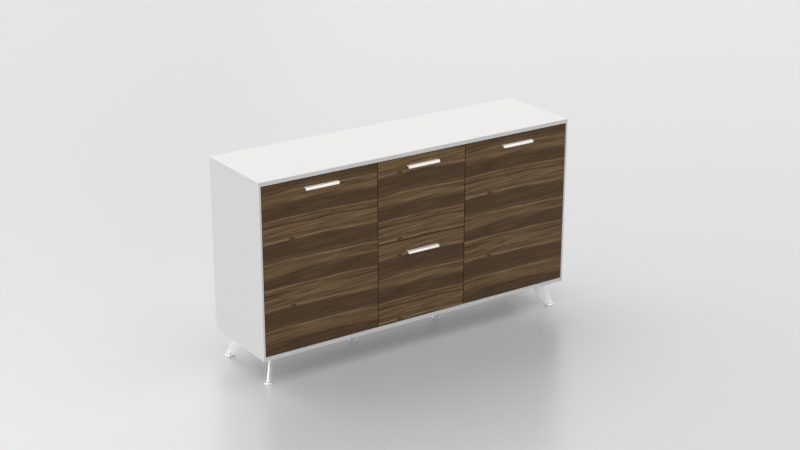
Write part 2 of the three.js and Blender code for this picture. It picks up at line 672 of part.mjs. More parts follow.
// Cast leg: a blade that stands on the carcass's diagonal and leans out to the foot, with a boss
// for the glide below and a screw plate above. +X points in along the diagonal.
function bladeLeg() {
  const footZ = GLIDE_HEIGHT + FIT_GAP;
  const topZ = plateTop - LEG_PLATE_THICKNESS / 2;
  const outerFoot = -LEG_FOOT_WIDTH / 2;
  const outerTop = outerFoot + LEG_LEAN;
  const innerTop = outerTop + LEG_TOP_WIDTH;
  const outline = new THREE.Shape();
  outline.moveTo(outerFoot, footZ);
  outline.lineTo(outerFoot + LEG_FOOT_WIDTH, footZ);
  outline.quadraticCurveTo(innerTop - LEG_BELLY_INSET, footZ + LEG_BELLY_RISE, innerTop, topZ);
  outline.lineTo(outerTop, topZ);
  const blade = new THREE.ExtrudeGeometry(outline, {
    depth: LEG_THICKNESS - 2 * LEG_EDGE_RADIUS,
    bevelThickness: LEG_EDGE_RADIUS,
    bevelSize: LEG_EDGE_RADIUS,
    bevelOffset: -LEG_EDGE_RADIUS,
    bevelSegments: 2,
    curveSegments: BELLY_SEGMENTS,
  }).translate(0, 0, LEG_EDGE_RADIUS - LEG_THICKNESS / 2).rotateX(Math.PI / 2);

  const bossRadius = LEG_BOSS_DIAMETER / 2;
  const bossTop = boreTop + LEG_BOSS_CAP;
  const boss = turned([
    [0, footSeat],
    [bossRadius, footSeat],
    [bossRadius, boreTop - bossRadius],
    [LEG_THICKNESS / 2, bossTop],
    [0, bossTop],
  ]);

  const plateX = (outerTop + innerTop) / 2;
  const halfLength = LEG_PLATE_LENGTH / 2;
  const halfWidth = LEG_PLATE_WIDTH / 2;
  const plate = slab(
    roundedRectangle(plateX - halfLength, -halfWidth, plateX + halfLength, halfWidth, LEG_PLATE_CORNER),
    plateTop - LEG_PLATE_THICKNESS,
    plateTop,
  );
  const screwHoles = [-1, 1].flatMap((end) => [-1, 1].map((edge) => {
    const hole = cylinder(LEG_SCREW_HOLE, plateTop - LEG_PLATE_THICKNESS - OVERCUT, plateTop + OVERCUT);
    const x = plateX + end * (halfLength - LEG_SCREW_MARGIN);
    return hole.translate(x, edge * (halfWidth - LEG_SCREW_MARGIN), 0);
  }));
  return cut(join(blade, boss, plate), cylinder(stemBore, footSeat - OVERCUT, boreTop), ...screwHoles);
}

// Centre support: a straight turned post with a flange above and the glide's bore below.
function centrePost() {
  const bore = stemBore / 2;
  const radius = POST_DIAMETER / 2;
  const flange = POST_FLANGE_DIAMETER / 2;
  const flangeLow = plateTop - POST_FLANGE_THICKNESS;
  return turned([
    [0, boreTop],
    [bore, boreTop],
    [bore, footSeat],
    [radius - GLIDE_EDGE, footSeat],
    [radius, footSeat + GLIDE_EDGE],
    [radius, flangeLow],
    [flange, flangeLow],
    [flange, plateTop],
    [0, plateTop],
  ]);
}

const footX = OUTER_X - FOOT_INSET;
const corners = [
  ['front_left', -footX, FRONT_Y + FOOT_INSET, 45],
  ['front_right', footX, FRONT_Y + FOOT_INSET, 135],
  ['rear_left', -footX, REAR_Y - FOOT_INSET, -45],
  ['rear_right', footX, REAR_Y - FOOT_INSET, -135],
];
for (const [name, x, y, turn] of corners) {
  const foot = new THREE.Group();
  foot.position.set(x, y, 0);
  foot.rotation.z = THREE.MathUtils.degToRad(turn);
  credenza.add(foot);
  add(foot, `${name}_leg`, bladeLeg(), 'cast');
  add(foot, `${name}_glide`, glide(), 'chrome');
}
for (const [name, side] of sides) {
  const foot = new THREE.Group();
  foot.position.set(side * DRAWER_BAY / 2, (FRONT_Y + REAR_Y) / 2, 0);
  credenza.add(foot);
  add(foot, `${name}_centre_post`, centrePost(), 'cast');
  add(foot, `${name}_centre_glide`, glide(), 'chrome');
}

export default credenza;
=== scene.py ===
"""Office credenza: finishes, smooth metalwork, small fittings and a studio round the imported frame.

Lengths are metres in the frame's own axes: X along the front, Y from front to back, Z up.
"""

import math

import bmesh
import bpy
import numpy as np
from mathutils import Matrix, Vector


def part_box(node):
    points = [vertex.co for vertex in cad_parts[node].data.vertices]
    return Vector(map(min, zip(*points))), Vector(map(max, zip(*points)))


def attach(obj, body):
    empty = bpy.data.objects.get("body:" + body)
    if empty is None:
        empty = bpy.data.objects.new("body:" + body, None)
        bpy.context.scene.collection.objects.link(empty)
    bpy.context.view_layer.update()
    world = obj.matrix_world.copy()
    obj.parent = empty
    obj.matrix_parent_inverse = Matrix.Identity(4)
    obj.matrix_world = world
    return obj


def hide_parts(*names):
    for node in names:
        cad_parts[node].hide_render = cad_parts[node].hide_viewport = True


bl_info = {
    "name": "Office Credenza Finishes",
    "version": (1, 0, 0),
    "blender": (4, 5, 0),
    "location": "View3D > Sidebar > Credenza",
    "description": "Dresses a walnut and white office credenza and sets up its studio",
    "category": "Object",
}

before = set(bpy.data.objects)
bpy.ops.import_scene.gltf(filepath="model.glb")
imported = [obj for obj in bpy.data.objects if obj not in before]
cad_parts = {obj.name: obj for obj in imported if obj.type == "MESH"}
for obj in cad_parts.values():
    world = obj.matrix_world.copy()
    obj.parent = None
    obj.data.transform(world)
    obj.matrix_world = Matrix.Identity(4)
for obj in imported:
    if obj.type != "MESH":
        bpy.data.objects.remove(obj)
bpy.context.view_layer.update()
MM = 0.001
SIDES = (("left", -1), ("right", 1))
CORNERS = ("front_left", "front_right", "rear_left", "rear_right")
DRAWERS = ("upper_drawer", "lower_drawer")
WHITE_BOARDS = (
    "top_panel",
    "bottom_panel",
    "left_side_panel",
    "right_side_panel",
    "left_partition",
    "right_partition",
    "left_shelf",
    "right_shelf",
)


def linear(code):
    """Linear light values of an sRGB hex code."""
    shares = np.array([int(code[i : i + 2], 16) for i in (1, 3, 5)]) / 255
    light = np.where(shares <= 0.04045, shares / 12.92, ((shares + 0.055) / 1.055) ** 2.4)
    return tuple(light.tolist())


def length(name, description, default):
    """A property that holds a length in metres."""
    return bpy.props.FloatProperty(
        name=name, description=description, default=default, min=0.0, unit="LENGTH", precision=4
    )


def shade(name, description, code):
    """A property that holds a colour, given as an sRGB hex code."""
    return bpy.props.FloatVectorProperty(
        name=name, description=description, default=linear(code), size=3, min=0.0, max=1.0,
        subtype="COLOR",
    )


class CredenzaSizes(bpy.types.PropertyGroup):
    """Sizes of the prints, the metalwork and the small fittings"""

    grain_repeat: length("Grain repeat", "Height after which the walnut print starts again", 0.300)
    door_line: length("Door line", "Door's top edge to the print's light line", 0.039)
    drawer_line: length("Drawer line", "Drawer front's top edge to the print's light line", 0.154)
    door_knot: length("Door knot", "Door's left edge to the print's knot", 0.137)
    drawer_knot: length("Drawer knot", "Drawer front's left edge to the print's knot", 0.110)
    pull_wall: length("Pull wall", "Thickness of a finger pull's metal", 0.0025)
    pull_lip: length("Pull lip", "Height of a finger pull's front lip", 0.010)
    pull_nose: length("Pull nose", "Radius where a pull's top turns down into its lip", 0.003)
    pull_corner: length("Pull corner", "Radius of a pull's front corners from above", 0.007)
    pull_inset: length("Pull inset", "A pull's end to the end of its screw flange", 0.018)
    blade_thickness: length("Blade thickness", "Thickness of a cast leg", 0.008)
    blade_foot: length("Blade foot", "Width of a leg's blade at the glide", 0.036)
    blade_top: length("Blade top", "Width of a leg's blade at its screw plate", 0.050)
    blade_lean: length("Blade lean", "How far a leg's outer edge leans in on its way up", 0.056)
    plate_length: length("Plate length", "Length of a leg's screw plate", 0.084)
    plate_width: length("Plate width", "Width of a leg's screw plate", 0.056)
    plate_thickness: length("Plate thickness", "Thickness of leg plates and post flanges", 0.005)
    post_diameter: length("Post diameter", "Diameter of a centre post", 0.028)
    glide_height: length("Glide height", "Height of a glide's foot", 0.008)
    stem_diameter: length("Stem diameter", "Diameter of a glide's threaded stem", 0.008)
    screw_head: length("Screw head", "Diameter of a screw's head", 0.0085)
    cap_diameter: length("Cap diameter", "Diameter of the caps over the board connectors", 0.017)
    bumper_diameter: length("Bumper diameter", "Diameter of the closing bumpers", 0.006)
    camera_lens: bpy.props.FloatProperty(
        name="Camera lens", description="Focal length of the camera", default=74.364,
        min=1.0, unit="CAMERA",
    )


class CredenzaColours(bpy.types.PropertyGroup):
    """Colours of the finishes"""

    melamine: shade("Melamine", "White boards", "#ECEBEA")
    hardboard: shade("Hardboard", "Lacquered back panel", "#E6E5E2")
    walnut_line: shade("Walnut line", "Brightest lines of the print", "#9E8361")
    walnut_tan: shade("Walnut tan", "Light bands of the print", "#7D6343")
    walnut_olive: shade("Walnut olive", "Middle bands of the print", "#685234")
    walnut_brown: shade("Walnut brown", "Broad brown bands of the print", "#543F28")
    walnut_dark: shade("Walnut dark", "Streaks, pores and knots of the print", "#362616")
    walnut_red: shade("Walnut red", "Reddish clouds of the print", "#714E38")
    # Painted shade: the edge band is darker than the print so that the gaps between the fronts look
    # shaded.
    edge_band_and_gap_shade: shade("Walnut edge", "Dark edge band of the fronts", "#33251A")
    aluminium: shade("Aluminium", "Anodised finger pulls", "#FAF7F2")
    casting: shade("Casting", "Softly polished cast legs and posts", "#F6F6F6")
    plating: shade("Plating", "Bright feet of the glides", "#F7F7F8")
    nylon: shade("Nylon", "Catches and caps", "#F3F3F0")
    silicone: shade("Silicone", "Closing bumpers", "#DCDCD8")
    zinc: shade("Zinc", "Plated runners, pivots and screws", "#C2C6CB")
    drawer_foil: shade("Drawer foil", "Drawer sides, backs and bases", "#D8D7D3")
    floor: shade("Floor", "Studio floor", "#D5D5D7")


# Nodes and finishes

NOISE_SPAN = (0.3, 0.7)  # between which most of a noise's values lie
RESIN_IOR = 1.5
STREAK_SLOPE = 0.035  # rise of the printed streaks for their length
PRINT_ROUGHNESS = 0.6  # how strongly the print's finer noise shows
BAND_START = 0.2 * MM  # depth from a front's flat faces at which its edge band begins
BAND_FULL = 0.7 * MM  # depth at which the band has its full colour


def add_node(tree, kind, inputs=None, **settings):
    """Adds a node, or takes one that is there, and fills its inputs with values or links."""
    node = kind if isinstance(kind, bpy.types.Node) else tree.nodes.new(kind)
    for name, value in settings.items():
        setattr(node, name, value)
    for name, value in (inputs or {}).items():
        if isinstance(value, bpy.types.NodeSocket):
            tree.links.new(value, node.inputs[name])
        else:
            node.inputs[name].default_value = value
    return node


def new_finish(name):
    """Starts a material: returns it, its node tree, its shader and its object coordinates."""
    finish = bpy.data.materials.new(name)
    finish.use_nodes = True
    tree = finish.node_tree
    spot = add_node(tree, "ShaderNodeTexCoord").outputs["Object"]
    return finish, tree, tree.nodes["Principled BSDF"], spot


def rgba(colour):
    """A colour with full cover, as a shader's socket takes it."""
    return (*colour, 1.0)


def stretched(size):
    """Pattern scale at which one cell measures this size in metres along each axis."""
    return tuple(1 / s for s in size)


def ranged(tree, value, span, result=(0.0, 1.0), **settings):
    """A value's share of a span, carried over to another span."""
    names = ("Value", "From Min", "From Max", "To Min", "To Max")
    inputs = dict(zip(names, (value, *span, *result)))
    return add_node(tree, "ShaderNodeMapRange", inputs, **settings).outputs[0]


def maths(tree, operation, first, second):
    """Result of an operation on two values."""
    inputs = {0: first, 1: second}
    return add_node(tree, "ShaderNodeMath", inputs, operation=operation).outputs[0]


def blended(tree, share, first, second):
    """Colour that goes from the first to the second with a share."""
    inputs = {0: share, 6: first, 7: second}
    return add_node(tree, "ShaderNodeMix", inputs, data_type="RGBA").outputs[2]


def grains(tree, spot, size, detail, roughness=0.5):
    """Noise whose cells measure this size in metres along each axis."""
    scaled = add_node(tree, "ShaderNodeMapping", {"Vector": spot, "Scale": stretched(size)})
    inputs = {"Vector": scaled.outputs[0], "Scale": 1.0, "Detail": detail, "Roughness": roughness}
    return add_node(tree, "ShaderNodeTexNoise", inputs).outputs["Fac"]


def relief(tree, height, strength, distance, **settings):
    """Normals of a surface that rises with a height."""
    inputs = {"Height": height, "Strength": strength, "Distance": distance}
    return add_node(tree, "ShaderNodeBump", inputs, **settings).outputs[0]


def ramp(tree, share, stops):
    """Colour at a share, between stops that start at 0 and end at 1."""
    node = add_node(tree, "ShaderNodeValToRGB", {0: share})
    elements = node.color_ramp.elements
    for position, colour in stops[1:-1]:
        elements.new(position).color = rgba(colour)
    elements[0].color = rgba(stops[0][1])
    elements[len(stops) - 1].color = rgba(stops[-1][1])
    return node.outputs["Color"]


def toned(tree, share, colour, least):
    """A colour that goes from the least part of its brightness to all of it with a share."""
    return blended(tree, share, rgba([c * least for c in colour]), rgba(colour))


def white_melamine(colours):
    """Melamine-faced board: resin paper pressed on a pearl plate."""
    # It is flat and satin, with a faint pebble that only shows in a glancing light. The real pebble
    # is 0.5 mm across and is drawn at 1.5 mm so that it shows. The tone drifts over some 180 mm.
    finish, tree, shader, spot = new_finish("White pearl melamine")
    pebble = grains(tree, spot, (1.5 * MM,) * 3, 1.0)
    cloud = grains(tree, spot, (0.18,) * 3, 2.0)
    tone = ranged(tree, cloud, NOISE_SPAN)
    add_node(
        tree, shader,
        {
            "Base Color": toned(tree, tone, colours.melamine, 0.985),
            "Roughness": ranged(tree, pebble, NOISE_SPAN, (0.40, 0.50)),
            "Normal": relief(tree, pebble, 0.12, 0.2 * MM),
            "IOR": RESIN_IOR,
            "Specular IOR Level": 0.35,
        },
    )
    return finish


def lacquered_hardboard(colours):
    """Hardboard with a rolled white lacquer: smooth, with faint roller lines along its length."""
    # The roller's lines are 2 mm apart and some 150 mm long.
    finish, tree, shader, spot = new_finish("Lacquered hardboard")
    lines = grains(tree, spot, (0.15, 0.15, 2 * MM), 2.0)
    add_node(
        tree, shader,
        {
            "Base Color": toned(tree, lines, colours.hardboard, 0.96),
            "Normal": relief(tree, lines, 0.1, 0.2 * MM),
            "Roughness": 0.55,
        },
    )
    return finish


def walnut_print(name, colours, sizes, low, high, knot, line):
    """Walnut-printed foil on a front's board, with its knot and light line set in from the corner."""
    # Printed grain runs along the front in bands that wander a little, and the print starts again
    # after a fixed height. The foil is matt, with shallow pressed pores.
    finish, tree, shader, spot = new_finish(name)
    shift = (-low.x - knot, 0.0, line - high.z)
    place = add_node(tree, "ShaderNodeMapping", {"Vector": spot, "Location": shift}).outputs[0]
    away = add_node(tree, "ShaderNodeSeparateXYZ", {0: place}).outputs
    along = away["X"]

    # Depth below the light line: the bands droop to both ends and wander by a few millimetres.
    wander = grains(tree, place, (0.30, 1.0, 0.16), 2.0)
    swing = ranged(tree, wander, (0.2, 0.8), (-4 * MM, 4 * MM))
    smooth = {"interpolation_type": "SMOOTHSTEP"}
    left_droop = ranged(tree, along, (-0.15, 0.0), (-5 * MM, 0.0), **smooth)
    right_droop = ranged(tree, along, (0.10, 0.42), (0.0, -9 * MM), **smooth)
    droop = maths(tree, "ADD", left_droop, right_droop)
    level = maths(tree, "SUBTRACT", droop, away["Z"])
    depth = maths(tree, "ADD", level, swing)
    turn = maths(tree, "FLOORED_MODULO", depth, sizes.grain_repeat)
    share = maths(tree, "DIVIDE", turn, sizes.grain_repeat)
    bright = colours.walnut_line
    tan = colours.walnut_tan
    olive = colours.walnut_olive
    brown = colours.walnut_brown
    dark = colours.walnut_dark
    stops = (
        (0.000, bright),
        (0.014, tan),
        (0.040, olive),
        (0.080, tan),
        (0.130, tan),
        (0.175, olive),
        (0.200, brown),
        (0.368, brown),
        (0.378, bright),
        (0.392, tan),
        (0.404, brown),
        (0.422, tan),
        (0.455, olive),
        (0.468, brown),
        (0.484, tan),
        (0.590, tan),
        (0.640, olive),
        (0.676, tan),
        (0.690, bright),
        (0.704, tan),
        (0.722, brown),
        (0.930, brown),
        (0.970, olive),
        (0.984, brown),
        (1.000, bright),
    )
    mixed = ramp(tree, share, stops)

    # Streaks rise a little across the bands. They are about 240 mm long and 6 mm high, hairlines
    # 300 by 2.5 mm, clouds 220 by 45 mm, and pores 0.4 mm high, drawn at 1.5 mm so that they show.
    risen = maths(tree, "ADD", depth, maths(tree, "MULTIPLY", along, STREAK_SLOPE))
    flow = add_node(tree, "ShaderNodeCombineXYZ", {"X": along, "Z": risen}).outputs[0]
    streaks = grains(tree, flow, (0.24, 1.0, 6 * MM), 3.0, PRINT_ROUGHNESS)
    hairlines = grains(tree, flow, (0.30, 1.0, 2.5 * MM), 1.0, PRINT_ROUGHNESS)
    clouds = grains(tree, flow, (0.22, 1.0, 45 * MM), 2.0, PRINT_ROUGHNESS)
    pores = grains(tree, flow, (0.03, 1.0, 1.5 * MM), 1.0, PRINT_ROUGHNESS)

    # Streaks are strong in the light bands and faint in the broad dark ones.
    strong = (1.0,) * 3
    faint = (0.35,) * 3
    strengths = (
        (0.00, strong),
        (0.17, strong),
        (0.21, faint),
        (0.36, faint),
        (0.38, strong),
        (0.71, strong),
        (0.74, faint),
        (0.94, faint),
        (1.00, strong),
    )
    calm = ramp(tree, share, strengths)

    # Knot and eye: distance from their centres, in their own half widths and half heights.
    spots = []
    for reach, height, centre in ((16 * MM, 6 * MM, 0.207), (45 * MM, 18 * MM, 0.080)):
        rise = maths(tree, "SUBTRACT", turn, centre)
        off = add_node(tree, "ShaderNodeCombineXYZ", {"X": along, "Z": rise}).outputs[0]
        scale = stretched((reach, 1.0, height))
        scaled = add_node(tree, "ShaderNodeMapping", {"Vector": off, "Scale": scale}).outputs[0]
        far = add_node(tree, "ShaderNodeVectorMath", {0: scaled}, operation="LENGTH")
        spots.append(far.outputs["Value"])
    dark_knot, eye = spots

    # Each overlay goes from nothing to its full share as its pattern goes over its span.
    overlays = (
        (streaks, (0.50, 0.68), 0.80, dark, True),
        (streaks, (0.48, 0.30), 0.75, bright, True),
        (hairlines, (0.55, 0.70), 0.65, dark, True),
        (hairlines, (0.44, 0.30), 0.50, bright, True),
        (clouds, (0.52, 0.74), 0.40, colours.walnut_red, False),
        (clouds, (0.46, 0.28), 0.30, brown, False),
        (eye, (1.3, 0.2), 0.35, dark, False),
        (dark_knot, (1.2, 0.5), 0.85, dark, False),
        (pores, (0.56, 0.72), 0.45, dark, False),
    )
    for pattern, span, most, colour, calmed in overlays:
        amount = ranged(tree, pattern, span, (0.0, most))
        if calmed:
            amount = maths(tree, "MULTIPLY", amount, calm)
        mixed = blended(tree, amount, mixed, rgba(colour))

    # Edge band: a dark strip on the narrow faces, which lie between the front's two flat ones. Its dark
    # brown is partly the band's own colour and partly painted shade, so that the gaps between the
    # fronts look shaded.
    behind = ranged(tree, away["Y"], (low.y + BAND_START, low.y + BAND_FULL))
    before = ranged(tree, away["Y"], (high.y - BAND_START, high.y - BAND_FULL))
    band = maths(tree, "MULTIPLY", behind, before)
    add_node(
        tree, shader,
        {
            "Base Color": blended(tree, band, mixed, rgba(colours.edge_band_and_gap_shade)),
            "Roughness": ranged(tree, streaks, NOISE_SPAN, (0.46, 0.58)),
            "Normal": relief(tree, pores, 0.2, 0.2 * MM, invert=True),
            "IOR": RESIN_IOR,
            "Specular IOR Level": 0.2,
        },
    )
    return finish


def satin_metal(name, colour, roughness, line):
    """Bright metal with fine lines: how long and how far apart the lines are sets its look."""
    finish, tree, shader, spot = new_finish(name)
    lines = grains(tree, spot, line, 2.0)
    add_node(
        tree, shader,
        {
            "Base Color": toned(tree, lines, colour, 0.9),
            "Roughness": ranged(tree, lines, NOISE_SPAN, (roughness - 0.05, roughness + 0.05)),
            "Normal": relief(tree, lines, 0.06, 0.1 * MM),
            "Metallic": 1.0,
        },
    )
    return finish


def moulded(name, colour, roughness, grain, strength):
    """Plain coated or moulded surface with a fine grain of one size in its gloss and relief."""
    finish, tree, shader, spot = new_finish(name)
    skin = grains(tree, spot, (grain,) * 3, 2.0)
    add_node(
        tree, shader,
        {
            "Base Color": toned(tree, skin, colour, 0.97),
            "Roughness": ranged(tree, skin, NOISE_SPAN, (roughness - 0.05, roughness + 0.05)),
            "Normal": relief(tree, skin, strength, 0.2 * MM),
            "IOR": RESIN_IOR,
        },
    )
    return finish


def finish_of(name, maker, *details):
    """A finish by its name, made once."""
    return bpy.data.materials.get(name) or maker(name, *details)


def anodised_aluminium(colours):
    """Extruded aluminium, satin anodised: soft reflections drawn out along the extrusion."""
    # Extrusion lines are about 0.2 mm apart and are drawn at 0.8 mm so that they show.
    line = (0.08, 0.8 * MM, 0.8 * MM)
    return finish_of("Satin anodised aluminium", satin_metal, colours.aluminium, 0.62, line)


def zinc_plate(colours):
    """Rolled steel with bright zinc plating: cool, with faint rolling lines along Y."""
    line = (2 * MM, 0.06, 2 * MM)
    return finish_of("Zinc-plated steel", satin_metal, colours.zinc, 0.32, line)


def polished_casting(colours):
    """Cast aluminium with a soft polish: pale and bright, with 4 mm waves left by the casting."""
    wave = (4 * MM, 4 * MM, 4 * MM)
    return finish_of("Softly polished cast aluminium", satin_metal, colours.casting, 0.60, wave)


def bright_plate(colours):
    """Chrome plating on moulded plastic: bright, softened by the mould's fine turned lines."""
    # The lines are 0.1 mm apart and are drawn at 1 mm so that they show.
    line = (0.02, 0.02, 1 * MM)
    return finish_of("Bright chrome plating", satin_metal, colours.plating, 0.32, line)


def white_nylon(colours):
    """Injection-moulded nylon: soft sheen, spark-eroded grain drawn at 1.2 mm."""
    return finish_of("White moulded nylon", moulded, colours.nylon, 0.42, 1.2 * MM, 0.10)


def soft_silicone(colours):
    """Cast silicone: pale, smooth and slightly dull."""
    return finish_of("Pale silicone", moulded, colours.silicone, 0.35, 1.0 * MM, 0.05)


def drawer_foil(colours):
    """Foil-wrapped drawer board: pale warm grey with a 1.5 mm embossed grain."""
    return finish_of("Grey drawer foil", moulded, colours.drawer_foil, 0.50, 1.5 * MM, 0.12)


def dress(finish, *nodes):
    """Gives nodes of the frame a finish in place of their plain colour."""
    for name in nodes:
        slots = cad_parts[name].data.materials
        slots.clear()
        slots.append(finish)


# Surfaces


def eased(corners, radii, steps=5):
    """Closed outline whose corners are arcs of the given radii.

    From a corner, each arc starts and ends at the radius over the tangent of half the corner's
    angle, and is the rational curve whose middle weight is the sine of that half angle.
    """
    corners = np.asarray(corners, float)
    radii = np.broadcast_to(np.asarray(radii, float), len(corners))
    back = np.roll(corners, 1, axis=0) - corners
    ahead = np.roll(corners, -1, axis=0) - corners
    back /= np.linalg.norm(back, axis=1, keepdims=True)
    ahead /= np.linalg.norm(ahead, axis=1, keepdims=True)
    half = np.arccos(np.clip((back * ahead).sum(axis=1), -1, 1)) / 2
    reach = (radii / np.tan(half))[:, None]
    start = (corners + back * reach)[:, None]
    end = (corners + ahead * reach)[:, None]
    s = np.linspace(0, 1, steps)[None, :, None]
    first = (1 - s) ** 2
    second = 2 * np.sin(half)[:, None, None] * s * (1 - s)
    third = s**2
    arcs = (first * start + second * corners[:, None] + third * end) / (first + second + third)
    return arcs.reshape(-1, 2)


def oblong(length_x, length_y, radius, steps=6):
    """Outline of a rectangle with round corners about the origin."""
    x = length_x / 2
    y = length_y / 2
    return eased([(-x, -y), (x, -y), (x, y), (-x, y)], radius, steps)


def circle(diameter, columns=40):
    """Outline of a circle about the origin."""
    angle = np.linspace(0, 2 * np.pi, columns, endpoint=False)
    return np.stack([np.cos(angle), np.sin(angle)], axis=1) * diameter / 2


def stacked(outline, insets, heights):
    """Rows of one outline, each drawn in along the outline's own normals and set at its height."""
    run = np.roll(outline, -1, axis=0) - np.roll(outline, 1, axis=0)
    run /= np.linalg.norm(run, axis=1, keepdims=True)
    outward = np.stack([run[:, 1], -run[:, 0]], axis=1)
    insets = np.asarray(insets, float)
    rows = outline[None] - insets[:, None, None] * outward[None]
    levels = np.broadcast_to(np.asarray(heights, float)[:, None, None], rows.shape[:2] + (1,))
    return np.concatenate([rows, levels], axis=2)


def plate(outline, thickness, radius, steps=4):
    """Plate from height 0 to its thickness, with quarter-round edges above and below."""
    angle = np.linspace(0, np.pi / 2, steps)
    draw = radius * (1 - np.sin(angle))
    rise = radius * (1 - np.cos(angle))
    insets = np.concatenate([draw, draw[::-1]])
    heights = np.concatenate([rise, thickness - rise[::-1]])
    return stacked(outline, insets, heights)


def turned(profile, columns=48):
    """Profile of (radius, height) points carried round the Z axis."""
    profile = np.asarray(profile, float)
    angle = np.linspace(0, 2 * np.pi, columns, endpoint=False)
    ring = np.stack([np.cos(angle), np.sin(angle), np.zeros(columns)], axis=1)
    up = np.array([0.0, 0.0, 1.0])
    return profile[:, :1, None] * ring[None] + profile[:, 1:, None] * up


def screw(diameter):
    """Pan head from height 0: a dome of rings, then a cross whose edge is the nearer of two arms.

    In each quarter turn the cross's edge lies at the arm's length over the cosine of the angle from
    the arm, or at the arm's half width over its sine.
    """
    radius = diameter / 2
    height = 0.30 * diameter
    dome = [(0.97, 0), (1, 0.15), (1, 0.4), (0.95, 0.66), (0.84, 0.86), (0.68, 0.97)]
    rings = turned(np.array(dome) * (radius, height))
    angle = np.linspace(0, 2 * np.pi, rings.shape[1], endpoint=False)
    folded = np.mod(angle + np.pi / 4, np.pi / 2) - np.pi / 4
    arm = 0.50 * radius
    half = 0.14 * radius
    sine = np.maximum(np.abs(np.sin(folded)), 1e-6)
    edge = np.minimum(arm / np.cos(folded), half / sine)
    cross = np.stack([np.cos(angle) * edge, np.sin(angle) * edge], axis=1)
    pit = []
    for narrowing, level in ((1.0, height), (0.8, height * 0.35)):
        pit.append(np.column_stack([cross * narrowing, np.full(len(cross), level)]))
    return np.concatenate([rings, pit])


def placed(points, origin, across, along):
    """Points moved to an origin, with local X and Y along two directions and Z square to both."""
    across = np.asarray(across, float)
    along = np.asarray(along, float)
    axes = np.stack([across, along, np.cross(across, along)])
    return points @ axes + np.asarray(origin, float)


def shell(points):
    """Rows of points joined into a closed surface: each row closes on itself, both ends capped."""
    rows, columns = points.shape[:2]
    start = np.arange(rows - 1)[:, None] * columns
    here = np.arange(columns)
    after = np.roll(here, -1)
    near = start + here
    quads = np.stack([near, start + after, start + columns + after, near + columns], axis=-1)
    last = (rows - 1) * columns + here
    corners = np.concatenate([quads.ravel(), here[::-1], last])
    sizes = np.concatenate([np.full(quads.size // 4, 4), [columns, columns]])
    return points.reshape(-1, 3), corners, sizes


def make_piece(name, surfaces, finish, body, replaced=(), crease=35):
    """Puts closed surfaces into one smooth-shaded piece that rides on a body of the frame."""
    shells = [shell(points) for points in surfaces]
    before = np.cumsum([0] + [len(points) for points, _, _ in shells])
    points = np.concatenate([points for points, _, _ in shells])
    corners = np.concatenate([c + n for (_, c, _), n in zip(shells, before)])
    sizes = np.concatenate([s for _, _, s in shells])
    mesh = bpy.data.meshes.new(name)
    mesh.vertices.add(len(points))
    mesh.vertices.foreach_set("co", points.astype(np.float32).ravel())
    mesh.loops.add(len(corners))
    mesh.loops.foreach_set("vertex_index", corners.astype(np.int32))
    mesh.polygons.add(len(sizes))
    mesh.polygons.foreach_set("loop_start", (np.cumsum(sizes) - sizes).astype(np.int32))
    mesh.update(calc_edges=True)
    if mesh.validate():
        raise RuntimeError(f"{name} has faces that don't hold together")
    solid = bmesh.new()
    solid.from_mesh(mesh)
    bmesh.ops.recalc_face_normals(solid, faces=solid.faces)
    solid.to_mesh(mesh)
    solid.free()
    mesh.polygons.foreach_set("use_smooth", np.ones(len(mesh.polygons), bool))
    mesh.set_sharp_from_angle(angle=math.radians(crease))
    mesh.materials.append(finish)
    piece = bpy.data.objects.new(name, mesh)
    bpy.context.scene.collection.objects.link(piece)
    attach(piece, body)
    if replaced:
        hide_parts(*replaced)
    return piece


# Places and settings


def middle(node):
    """Centre of a node's box."""
    low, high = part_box(node)
    return (low + high) / 2


def face_x(node, way):
    """X of a node's left face, for a way of -1, or of its right face, for 1."""
    low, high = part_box(node)
    return high.x if way > 0 else low.x


def chosen(context):
    """Sizes and colours that are set on the scene."""
    return context.scene.credenza_sizes, context.scene.credenza_colours


def dress_front(body, part, colours, sizes, knot, line):
    """Gives the front of a door or drawer its own walnut print."""
    node = f"{body}_{part}"
    low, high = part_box(node)
    name = "Walnut print, " + body.replace("_", " ")
    dress(walnut_print(name, colours, sizes, low, high, knot, line), node)


# Carcass, doors and drawers

FACING_DOWN = ((1, 0, 0), (0, -1, 0))
FACING_FRONT = ((1, 0, 0), (0, 0, 1))
FACING_REAR = ((-1, 0, 0), (0, 0, 1))
CAP_THICKNESS = 0.8 * MM
CAP_ROUNDING = 0.5 * MM
CAP_INSET = 34 * MM  # a connector's centre to the face of the board that it holds
CAP_ROWS = (-0.105, 0.150)  # the connectors' places along Y
BACK_CAP_INSET = 40 * MM  # the connectors of a drawer's back, from the sides' rear ends
LOW_CAP_RISE = 62 * MM  # a drawer's lower connectors, from the sides' lower edges
HIGH_CAP_DROP = 42 * MM  # a drawer's upper connectors, from the sides' upper edges
BUMPER_THICKNESS = 1.5 * MM
BUMPER_ROUNDING = 0.6 * MM
BUMPER_INSET = 40 * MM  # a bumper's centre to the end of the front that closes on it
BUMPER_SHIFT = 5.2 * MM  # a bumper's centre to the middle of the partition's edge
STRIKE_OUTLINE = (36 * MM, 11 * MM, 2 * MM)  # length, height and radius of the corners
STRIKE_THICKNESS = 0.15 * MM
STRIKE_ROUNDING = 0.05 * MM
STRIKE_SCREW_SHIFT = 12.5 * MM  # the strike plate's middle to a screw
FLUSH = 0.05  # share of a screw head's height that stands out of a strike plate
SMALL_SCREW = 6 * MM  # head of the strike plates' and catches' screws
PULL_FLANGE_CORNER = 2.5 * MM
PULL_FLANGE_ROUNDING = 0.4 * MM
PULL_BACK_EASE = 0.35 * MM  # radius of a pull's edges at the front that carries it
PULL_HOLLOW = 1.5 * MM  # radius inside a pull's hook
PULL_LIP_EASE = 0.8 * MM  # radius of a pull's lower edges
PULL_BEVEL = 0.3 * MM  # bevel of the edges that are left sharp
PULL_BEVEL_ANGLE = 50  # degrees above which an edge is sharp


